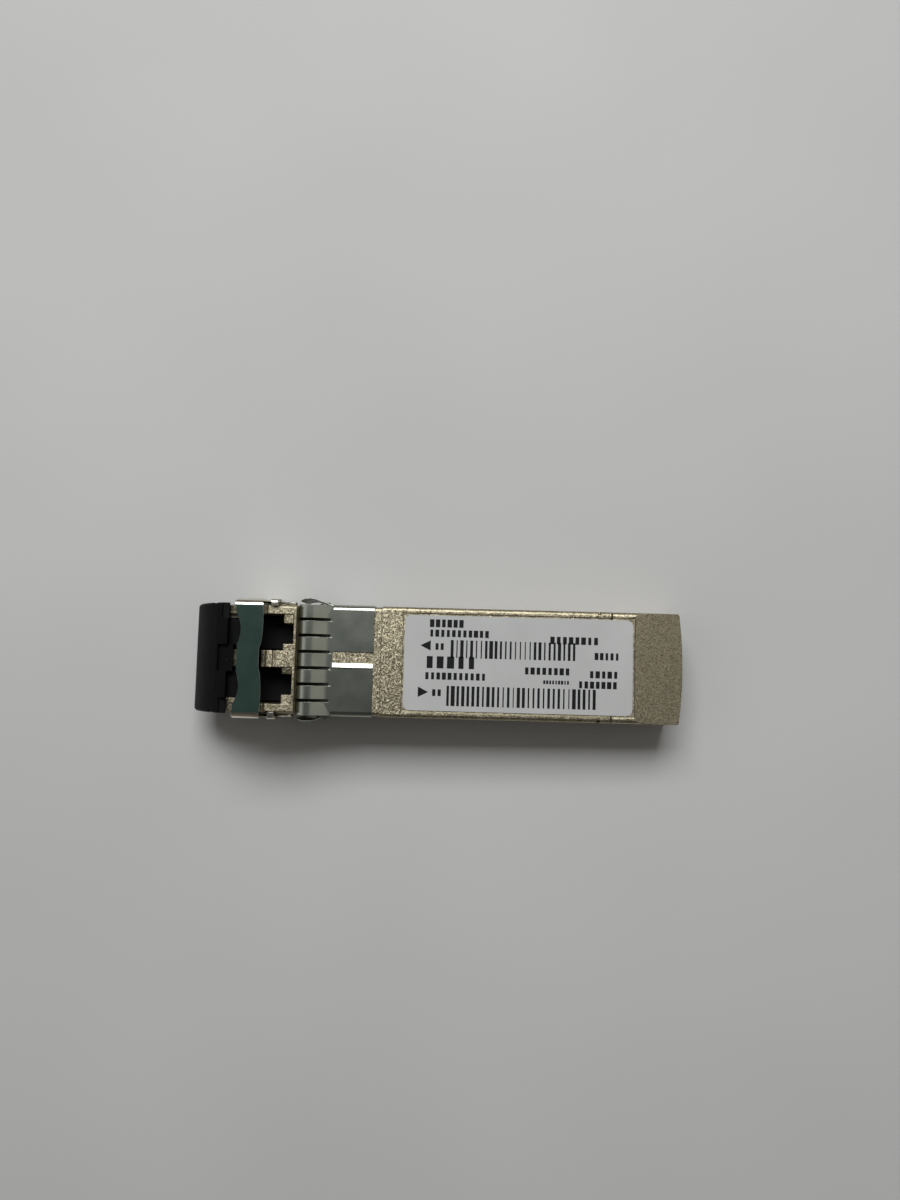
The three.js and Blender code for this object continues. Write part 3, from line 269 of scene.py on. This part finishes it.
FINISHES = {
    # Blasted zinc with a coarse sparkle, as on the cover and the nose.
    "coarse_plated_zinc": blasted_zinc(
        dark="#7a715b", light="#bdb59c", grain_mm=0.11, tilt=0.3, roughness=0.4),
    # The lower shell's finer, smoother zinc, also on the rocker and the retainer inside.
    "fine_plated_zinc": blasted_zinc(
        dark="#857c65", light="#c4bca4", grain_mm=0.1, tilt=0.25, roughness=0.36),
    # Dark zinc with painted shade where the shield's fingers cover it: it stands for the shadow in the gap
    # under them.
    "zinc_with_painted_shade": plain_finish("#26231d", "#332f27", roughness=0.8, feature_mm=0.3, depth_mm=0.01),
    # Slightly grey-green steel sheet of the shield, with its grain along the module.
    "rolled_stainless_sheet": rolled_sheet("#a6aa9f", "#aeb2a7", roughness=0.26, grain_scale=(1, 0.06, 0.06)),
    # Warm bright plating on the bail's stamped steel.
    "nickel_plated_stamping": rolled_sheet("#d9d5c6", "#efece0", roughness=0.2, grain_scale=(0.08, 1, 0.08)),
    # Green lacquer on top of the bail's bar.
    "green_lacquered_steel": painted_green,
    # Drawn steel of the pin and the leaf spring.
    "bright_spring_steel": rolled_sheet("#b5b5b0", "#d2d2cc", roughness=0.18, grain_scale=(0.1, 1, 1)),
    # The dust plug's matte black rubber.
    "black_moulded_elastomer": moulded_rubber,
    # The label and what is printed on it.
    "silver_grey_label_film": label_film,
    "black_label_ink": label_ink,
    # The circuit board and the gold contacts of its card edge.
    "green_solder_mask": solder_mask,
    "hard_gold_plating": plain_finish(
        "#c8942f", "#e0b455", roughness=0.22, metallic=1.0, feature_mm=0.2, depth_mm=0.003),
    # Moulded packages of the chips.
    "black_moulded_epoxy": plain_finish("#19191b", "#242427", roughness=0.5, feature_mm=0.12),
    # Amber resin of the two optical barrels.
    "amber_polyetherimide": plain_finish(
        "#a9691c", "#c8842c", roughness=0.28, feature_mm=0.6, depth_mm=0.004),
    # Thin gold wash on the metal cans behind the barrels.
    "gold_washed_can": plain_finish(
        "#b79c5c", "#cdb77c", roughness=0.25, metallic=1.0, feature_mm=0.5, depth_mm=0.003),
    # Amber film of the flexible circuits.
    "amber_polyimide_flex": plain_finish(
        "#8f5414", "#b06f20", roughness=0.35, feature_mm=0.5, depth_mm=0.004),
    # Bodies of the capacitors and of the inductors.
    "tan_ceramic": plain_finish("#8a7356", "#a48b6b", roughness=0.45, feature_mm=0.15, depth_mm=0.005),
    "grey_ferrite": plain_finish("#3c3d3f", "#505154", roughness=0.6, feature_mm=0.1, depth_mm=0.01),
    # Soft pad that takes heat from the chips to the roof.
    "blue_silicone_gap_pad": plain_finish(
        "#6f8ea3", "#89a5b7", roughness=0.75, feature_mm=0.2, depth_mm=0.01),
    # The surface that the module lies on.
    "pale_grey_paper": paper_surface,
}
_made_finishes = {}


def finish(name):
    """The named finish, made once."""
    if name not in _made_finishes:
        _made_finishes[name] = material(name, FINISHES[name])
    return _made_finishes[name]


# ---- Pieces ----

def new_piece(name, mesh):
    """An object for the mesh, at the origin."""
    mesh.name = name
    piece = bpy.data.objects.new(name, mesh)
    bpy.context.scene.collection.objects.link(piece)
    return piece


WELD_DISTANCE = 0.0005            # corners closer than this become one
FACET_ANGLE = math.radians(1.5)   # faces that differ by less are merged
SHADING_BREAK = math.radians(32)  # smooth shading stops at edges sharper than this
BEVEL_BREAK = math.radians(34)    # and edges sharper than this are eased


def dressed_copy(node, name, bevel_mm, segments, finish_name, body):
    """A CAD node's shape with its facets merged and its edges eased, standing for that node."""
    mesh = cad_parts[node].data.copy()
    form = bmesh.new()
    form.from_mesh(mesh)
    bmesh.ops.remove_doubles(form, verts=form.verts, dist=WELD_DISTANCE * MM)
    bmesh.ops.dissolve_limit(form, angle_limit=FACET_ANGLE, verts=form.verts, edges=form.edges)
    form.to_mesh(mesh)
    form.free()
    mesh.materials.clear()
    mesh.materials.append(finish(finish_name))
    piece = new_piece(name, mesh)
    for polygon in mesh.polygons:
        polygon.use_smooth = True
    mesh.set_sharp_from_angle(angle=SHADING_BREAK)
    if bevel_mm:
        eased = piece.modifiers.new("eased_edges", "BEVEL")
        eased.width = bevel_mm * MM
        eased.segments = segments
        eased.limit_method = "ANGLE"
        eased.angle_limit = BEVEL_BREAK
        eased.use_clamp_overlap = False
        eased.harden_normals = True
        eased.miter_outer = "MITER_ARC"
    flattened = piece.modifiers.new("flat_faces_stay_flat", "WEIGHTED_NORMAL")
    flattened.keep_sharp = True
    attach(piece, body)
    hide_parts(node)
    return piece


# ---- Label print ----

LABEL_LEFT = -5.55               # the label's nose end
LABEL_TOP = 8.51
PRINT_BASE = LABEL_TOP + 0.001   # clear of the label by a hair
PRINT_THICKNESS = 0.006

# Start and end along the label, middle across it and height of each bar code.
BAR_CODES = [(5.5, 20.8, 1.75, 2.15), (5.1, 23.3, -3.9, 2.4)]
BAR_PITCH = 0.6
BAR_SHARES = (0.15, 0.8)         # narrowest and widest bar, as shares of the pitch
# Start, end, middle and height of each line of blocks that stands in for words.
TEXT_LINES = [
    (2.95, 7.2, 4.8, 0.95), (2.95, 10.3, 3.6, 0.85), (3.65, 4.9, 2.0, 0.8), (2.5, 8.8, 0.1, 1.45),
    (2.5, 10.0, -1.55, 0.85), (3.4, 4.7, -3.55, 0.8), (17.5, 23.5, 3.1, 0.9), (22.9, 26.0, 1.3, 0.85),
    (14.5, 20.1, -0.65, 0.85), (22.3, 25.9, -0.9, 0.85), (21.0, 25.8, -2.15, 0.85), (16.8, 20.0, -1.95, 0.45),
]
LETTER_PITCH = 0.8               # as a share of the line's height
LETTER_SHARES = (0.45, 0.8)
TEXT_SEED_STEP = 10              # between the first bar code's seed and the first line's
# Tip and base along the label, and middle across it, of the two arrowheads.
ARROWHEADS = [(1.95, 3.2, 2.1), (3.05, 1.8, -3.5)]
ARROW_HALF = 0.62


def row_of_blocks_group():
    """A Geometry Nodes group: a row of upright blocks of random width."""
    group = bpy.data.node_groups.new("row_of_blocks", "GeometryNodeTree")
    sockets = [
        ("Count", "NodeSocketInt"), ("Pitch", "NodeSocketFloat"), ("Height", "NodeSocketFloat"),
        ("Thickness", "NodeSocketFloat"), ("Narrowest", "NodeSocketFloat"), ("Widest", "NodeSocketFloat"),
        ("Seed", "NodeSocketInt"), ("Material", "NodeSocketMaterial"),
    ]
    for name, kind in sockets:
        group.interface.new_socket(name, in_out="INPUT", socket_type=kind)
    group.interface.new_socket("Geometry", in_out="OUTPUT", socket_type="NodeSocketGeometry")
    given = put(group, "NodeGroupInput").outputs
    step = put(group, "ShaderNodeCombineXYZ", {"X": given["Pitch"]}).outputs[0]
    line = put(group, "GeometryNodeMeshLine", {
        "Count": given["Count"], "Start Location": (0, 0, 0), "Offset": step})
    share = put(group, "FunctionNodeRandomValue", {
        2: given["Narrowest"], 3: given["Widest"], "Seed": given["Seed"]}, data_type="FLOAT").outputs[1]
    width = put(group, "ShaderNodeMath", {0: share, 1: given["Pitch"]}, operation="MULTIPLY").outputs[0]
    size = put(group, "ShaderNodeCombineXYZ", {
        "X": width, "Y": given["Height"], "Z": given["Thickness"]}).outputs[0]
    block = put(group, "GeometryNodeMeshCube", {"Size": (1, 1, 1)})
    placed = put(group, "GeometryNodeInstanceOnPoints", {
        "Points": line.outputs[0], "Instance": block.outputs[0], "Scale": size})
    real = put(group, "GeometryNodeRealizeInstances", {0: placed.outputs[0]})
    inked = put(group, "GeometryNodeSetMaterial", {0: real.outputs[0], "Material": given["Material"]})
    put(group, "NodeGroupOutput", {0: inked.outputs[0]})
    return group


def block_row(group, values):
    """The mesh that the group makes with these named inputs."""
    holder = bpy.data.objects.new("row_holder", bpy.data.meshes.new("row_holder"))
    bpy.context.scene.collection.objects.link(holder)
    modifier = holder.modifiers.new("row", "NODES")
    modifier.node_group = group
    for item in group.interface.items_tree:
        if item.in_out == "INPUT" and item.name in values:
            modifier[item.identifier] = values[item.name]
    evaluated = holder.evaluated_get(bpy.context.evaluated_depsgraph_get())
    mesh = bpy.data.meshes.new_from_object(evaluated)
    bpy.data.objects.remove(holder)
    return mesh


def print_row(group, line, count, shares, seed):
    """One row of blocks and the place of its first block."""
    start, end, middle, height = line
    pitch = (end - start) / count
    mesh = block_row(group, {
        "Count": count, "Pitch": pitch * MM, "Height": height * MM, "Thickness": PRINT_THICKNESS * MM,
        "Narrowest": shares[0], "Widest": shares[1], "Seed": seed, "Material": finish("black_label_ink")})
    place = Vector((LABEL_LEFT + start + pitch / 2, middle, PRINT_BASE + PRINT_THICKNESS / 2)) * MM
    return mesh, place


def bar_code_rows(group, seed):
    """A row of bars for each bar code."""
    rows = []
    for number, line in enumerate(BAR_CODES):
        start, end = line[:2]
        count = round((end - start) / BAR_PITCH)
        rows.append(print_row(group, line, count, BAR_SHARES, seed + number))
    return rows


def text_rows(group, seed):
    """A row of blocks for each line of words."""
    rows = []
    for number, line in enumerate(TEXT_LINES):
        start, end, _, height = line
        count = max(2, round((end - start) / (height * LETTER_PITCH)))
        rows.append(print_row(group, line, count, LETTER_SHARES, seed + TEXT_SEED_STEP + number))
    return rows


def printed_piece(name, form):
    """A piece of print on the label, from a mesh under construction."""
    mesh = bpy.data.meshes.new(name)
    form.to_mesh(mesh)
    form.free()
    mesh.materials.append(finish("black_label_ink"))
    piece = new_piece(name, mesh)
    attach(piece, "housing")


def joined_print(name, rows):
    """One piece from (mesh, place) rows."""
    form = bmesh.new()
    for mesh, place in rows:
        mesh.transform(Matrix.Translation(place))
        form.from_mesh(mesh)
        bpy.data.meshes.remove(mesh)
    printed_piece(name, form)


def arrowhead_piece():
    """Two triangles that point to and from the ports."""
    form = bmesh.new()
    for tip, base, middle in ARROWHEADS:
        low = PRINT_BASE * MM
        corners = [(tip, middle), (base, middle + ARROW_HALF), (base, middle - ARROW_HALF)]
        points = [form.verts.new(((LABEL_LEFT + a) * MM, b * MM, low)) for a, b in corners]
        face = form.faces.new(points)
        raised = bmesh.ops.extrude_face_region(form, geom=[face])
        moved = [v for v in raised["geom"] if isinstance(v, bmesh.types.BMVert)]
        bmesh.ops.translate(form, verts=moved, vec=(0, 0, PRINT_THICKNESS * MM))
    bmesh.ops.recalc_face_normals(form, faces=form.faces)
    printed_piece("label_arrowheads", form)


# ---- Add-on ----

class TransceiverSettings(bpy.types.PropertyGroup):
    """Sizes of the finish work and of the stage."""
    casting_bevel: bpy.props.FloatProperty(
        name="Casting edge", description="Width of the eased edges on the castings",
        default=0.07 * MM, min=0.0, unit="LENGTH")
    plug_bevel: bpy.props.FloatProperty(
        name="Plug edge", description="Width of the eased edges on the dust plug",
        default=0.07 * MM, min=0.0, unit="LENGTH")
    bevel_segments: bpy.props.IntProperty(
        name="Edge segments", description="Facets across each eased edge", default=2, min=1, max=6)
    print_seed: bpy.props.IntProperty(
        name="Print seed", description="Picks the widths of the label's bars and blocks", default=4)
    key_power: bpy.props.FloatProperty(
        name="Key lamp", description="Power of the large soft lamp", default=2.0, min=0.0, unit="POWER")
    camera_height: bpy.props.FloatProperty(
        name="Camera height", description="Height of the camera above the module's underside",
        default=113.7 * MM, min=0.01, unit="LENGTH")
    camera_lens: bpy.props.FloatProperty(
        name="Lens", description="Focal length of the camera", default=26.1, min=5.0,
        subtype="DISTANCE_CAMERA")


FINGER_ROOTS = -14.55            # the shield's fingers spring from here and reach towards the nose
CUT_TOLERANCE = 0.001            # corners this close to the cut count as on it


def paint_shade_under_fingers(piece):
    """Splits a shell where the fingers spring from, and paints shade on it in front of there: a dark finish
    for the shadow under the fingers.
    """
    mesh = piece.data
    form = bmesh.new()
    form.from_mesh(mesh)
    bmesh.ops.bisect_plane(form, geom=form.verts[:] + form.edges[:] + form.faces[:],
                           plane_co=(FINGER_ROOTS * MM, 0, 0), plane_no=(1, 0, 0), dist=CUT_TOLERANCE * MM)
    form.to_mesh(mesh)
    form.free()
    # Painted shade: this dark finish stands for the shadow in the gap under the shield's fingers.
    mesh.materials.append(finish("zinc_with_painted_shade"))
    for polygon in mesh.polygons:
        if polygon.center.x < FINGER_ROOTS * MM:
            polygon.material_index = 1


# Node, finish, slot and body of each casting.
CASTINGS = (
    ("base_housing", "fine_plated_zinc", "base_zinc", "housing"),
    ("top_cover", "coarse_plated_zinc", "cover_zinc", "housing"),
    ("nose_block", "coarse_plated_zinc", "nose_zinc", "housing"),
    ("latch_lever", "fine_plated_zinc", "lever_zinc", "latch"),
    ("barrel_retainer", "fine_plated_zinc", "retainer_zinc", "housing"),
)
UNDER_FINGERS = ("base_housing", "top_cover")


class TRANSCEIVER_OT_castings(bpy.types.Operator):
    """Builds the zinc castings: both shells, the nose, the latch rocker and the inner retainer"""
    bl_idname = "transceiver.castings"
    bl_label = "Castings"

    def execute(self, context):
        settings = context.scene.transceiver
        width = settings.casting_bevel / MM
        segments = settings.bevel_segments
        for node, finish_name, slot, body in CASTINGS:
            piece = dressed_copy(node, node + "_casting", width, segments, finish_name, body)
            if node in UNDER_FINGERS:
                paint_shade_under_fingers(piece)
        return {"FINISHED"}


SHEET_BEVEL = 0.03               # on the edges of the stamped sheets
LABEL_BEVEL = 0.02               # on the label's edges
PLUG_SEGMENTS = 3                # facets across the plug's eased edges


class TRANSCEIVER_OT_shield(bpy.types.Operator):
    """Builds the sprung shield that wraps the body behind the nose"""
    bl_idname = "transceiver.shield"
    bl_label = "Shield"

    def execute(self, context):
        dressed_copy("emi_shield", "emi_shield_sheet", SHEET_BEVEL, 1,
                     "rolled_stainless_sheet", "housing")
        return {"FINISHED"}


BAR_REAR_END = -22.0             # the bail's bar lies in front of this
BAR_TOP_BAND = 0.05              # faces of the bar's top lie within this of the bail's highest point
LEVEL = 0.995                    # the least upward part of a level face's normal


class TRANSCEIVER_OT_bail(bpy.types.Operator):
    """Builds the bail, with lacquer on its bar"""
    bl_idname = "transceiver.bail"
    bl_label = "Bail"

    def execute(self, context):
        piece = dressed_copy("bail_latch", "bail_stamping", SHEET_BEVEL, 1,
                             "nickel_plated_stamping", "bail")
        mesh = piece.data
        mesh.materials.append(finish("green_lacquered_steel"))
        top = max(v.co.z for v in mesh.vertices)
        for polygon in mesh.polygons:
            centre = polygon.center
            on_bar = centre.x < BAR_REAR_END * MM and centre.z > top - BAR_TOP_BAND * MM
            if on_bar and polygon.normal.z > LEVEL:
                polygon.material_index = 1
        return {"FINISHED"}


class TRANSCEIVER_OT_plug(bpy.types.Operator):
    """Builds the dust plug that fills both ports"""
    bl_idname = "transceiver.plug"
    bl_label = "Dust plug"

    def execute(self, context):
        settings = context.scene.transceiver
        dressed_copy("dust_plug", "dust_plug_moulding", settings.plug_bevel / MM, PLUG_SEGMENTS,
                     "black_moulded_elastomer", "plug")
        return {"FINISHED"}


class TRANSCEIVER_OT_label(bpy.types.Operator):
    """Builds the label with generic bar codes, blocks in place of words and two arrowheads"""
    bl_idname = "transceiver.label"
    bl_label = "Label"

    def execute(self, context):
        seed = context.scene.transceiver.print_seed
        dressed_copy("product_label", "product_label_film", LABEL_BEVEL, 1,
                     "silver_grey_label_film", "housing")
        group = row_of_blocks_group()
        joined_print("label_bar_codes", bar_code_rows(group, seed))
        joined_print("label_text_blocks", text_rows(group, seed))
        arrowhead_piece()
        return {"FINISHED"}


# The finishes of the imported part's own nodes: by name, and for the repeated ones by the start of the name.
CARRIED_OVER = {
    "latch_spring": "bright_spring_steel",
    "pivot_pin": "bright_spring_steel",
    "circuit_board": "green_solder_mask",
    "transmitter_barrel": "amber_polyetherimide",
    "receiver_barrel": "amber_polyetherimide",
    "transmitter_can": "gold_washed_can",
    "receiver_can": "gold_washed_can",
    "transmitter_flex": "amber_polyimide_flex",
    "receiver_flex": "amber_polyimide_flex",
    "laser_driver_chip": "black_moulded_epoxy",
    "limiting_amplifier_chip": "black_moulded_epoxy",
    "microcontroller_chip": "black_moulded_epoxy",
    "memory_chip": "black_moulded_epoxy",
    "thermal_pad": "blue_silicone_gap_pad",
}
CARRIED_OVER_BY_START = {
    "contact_": "hard_gold_plating",
    "coupling_capacitor_": "tan_ceramic",
    "power_inductor_": "grey_ferrite",
}


class TRANSCEIVER_OT_inside(bpy.types.Operator):
    """Gives the pieces inside the module, the pin and the spring their finishes"""
    bl_idname = "transceiver.inside"
    bl_label = "Inside"

    def execute(self, context):
        for name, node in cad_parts.items():
            chosen = CARRIED_OVER.get(name)
            for start, finish_name in CARRIED_OVER_BY_START.items():
                if name.startswith(start):
                    chosen = finish_name
            if chosen:
                node.data.materials.clear()
                node.data.materials.append(finish(chosen))
        return {"FINISHED"}


# The module rests on the bail's tabs in front and on the start of the underside's rise at the rear.
FRONT_REST = Vector((-24.0, 0, -1.9)) * MM
REAR_REST = Vector((24.75, 0, 0.0)) * MM


def table_frame():
    """From the stage's own level space to the part's frame."""
    lean = math.atan2(REAR_REST.z - FRONT_REST.z, REAR_REST.x - FRONT_REST.x)
    return Matrix.Translation(FRONT_REST) @ Matrix.Rotation(-lean, 4, "Y")


def stage_lamp(name, place, size, power, colour):
    """A rectangular soft lamp in the stage's space, aimed at the point where the module rests in front."""
    lamp = bpy.data.lights.new(name, "AREA")
    lamp.shape = "RECTANGLE"
    lamp.size = size[0] * MM
    lamp.size_y = size[1] * MM
    lamp.energy = power
    lamp.color = linear(colour)[:3]
    holder = bpy.data.objects.new(name, lamp)
    bpy.context.scene.collection.objects.link(holder)
    place = Vector(place) * MM
    turn = (-place).to_track_quat("-Z", "Y").to_matrix().to_4x4()
    holder.matrix_world = table_frame() @ Matrix.Translation(place) @ turn


def dim_room(strength):
    """A room that is dark overhead and brighter towards the horizon."""
    world = bpy.data.worlds.new("dim_room")
    world.use_nodes = True
    tree = world.node_tree
    tree.nodes.clear()
    direction = put(tree, "ShaderNodeTexCoord").outputs["Generated"]
    height = put(tree, "ShaderNodeSeparateXYZ", {"Vector": direction}).outputs["Z"]
    colour = ramp(tree, height, [(0.25, "#857a72"), (0.85, "#474d4b")])
    glow = put(tree, "ShaderNodeBackground", {"Color": colour, "Strength": strength})
    put(tree, "ShaderNodeOutputWorld", {"Surface": glow.outputs[0]})
    return world


PAPER_HALF = 600                 # half the width of the surface
CAMERA_OVER = (1.1, -0.5)        # the point of the module under the camera
CAMERA_TURN_DEG = (4.44, 0.69, 1.48)  # about X, Y and Z, from looking straight down
CLIP_START = 5                   # nothing closer to the camera than this is drawn
CLIP_END = 5000
ROOM_STRENGTH = 0.5
# Place, size, share of the key lamp's power and colour of each lamp.
LAMPS = {
    "key_window": ((0, 265, 400), (320, 200), 1.0, "#fcfdff"),
    "side_card_left": ((-260, 20, 380), (280, 280), 0.07, "#ffffff"),
    "side_card_right": ((260, 20, 380), (280, 280), 0.045, "#fffaf2"),
}


class TRANSCEIVER_OT_stage(bpy.types.Operator):
    """Builds the surface, the lamps and the camera"""
    bl_idname = "transceiver.stage"
    bl_label = "Stage"

    def execute(self, context):
        scene = context.scene
        settings = scene.transceiver
        form = bmesh.new()
        bmesh.ops.create_grid(form, x_segments=4, y_segments=4, size=PAPER_HALF * MM)
        bmesh.ops.transform(form, matrix=table_frame(), verts=form.verts)
        mesh = bpy.data.meshes.new("paper")
        form.to_mesh(mesh)
        form.free()
        mesh.materials.append(finish("pale_grey_paper"))
        new_piece("paper", mesh)

        for name, (place, size, share, colour) in LAMPS.items():
            stage_lamp(name, place, size, settings.key_power * share, colour)
        scene.world = dim_room(ROOM_STRENGTH)
        scene.view_settings.view_transform = "Standard"

        lens = bpy.data.cameras.new("camera")
        lens.lens = settings.camera_lens
        lens.clip_start = CLIP_START * MM
        lens.clip_end = CLIP_END * MM
        camera = bpy.data.objects.new("camera", lens)
        scene.collection.objects.link(camera)
        turns = [Matrix.Rotation(math.radians(angle), 4, axis)
                 for angle, axis in zip(CAMERA_TURN_DEG, "XYZ")]
        place = Vector((*CAMERA_OVER, settings.camera_height / MM)) * MM
        camera.matrix_world = Matrix.Translation(place) @ turns[0] @ turns[1] @ turns[2]
        scene.camera = camera
        return {"FINISHED"}


OPERATORS = (
    TRANSCEIVER_OT_castings, TRANSCEIVER_OT_shield, TRANSCEIVER_OT_bail, TRANSCEIVER_OT_plug,
    TRANSCEIVER_OT_label, TRANSCEIVER_OT_inside, TRANSCEIVER_OT_stage,
)


class TRANSCEIVER_PT_panel(bpy.types.Panel):
    """Lists the steps that build the module"""
    bl_idname = "TRANSCEIVER_PT_panel"
    bl_label = "Transceiver"
    bl_space_type = "VIEW_3D"
    bl_region_type = "UI"
    bl_category = "Transceiver"

    def draw(self, context):
        settings = context.scene.transceiver
        for name in TransceiverSettings.__annotations__:
            self.layout.prop(settings, name)
        for operator in OPERATORS:
            self.layout.operator(operator.bl_idname)


CLASSES = (TransceiverSettings, *OPERATORS, TRANSCEIVER_PT_panel)


def register():
    """Registers the settings, the operators and the panel."""
    for each in CLASSES:
        bpy.utils.register_class(each)
    bpy.types.Scene.transceiver = bpy.props.PointerProperty(type=TransceiverSettings)


def unregister():
    """Takes them away again."""
    del bpy.types.Scene.transceiver
    for each in reversed(CLASSES):
        bpy.utils.unregister_class(each)


def main():
    """Registers the add-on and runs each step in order."""
    register()
    for operator in OPERATORS:
        family, step = operator.bl_idname.split(".")
        getattr(getattr(bpy.ops, family), step)()


if __name__ == "__main__":
    main()
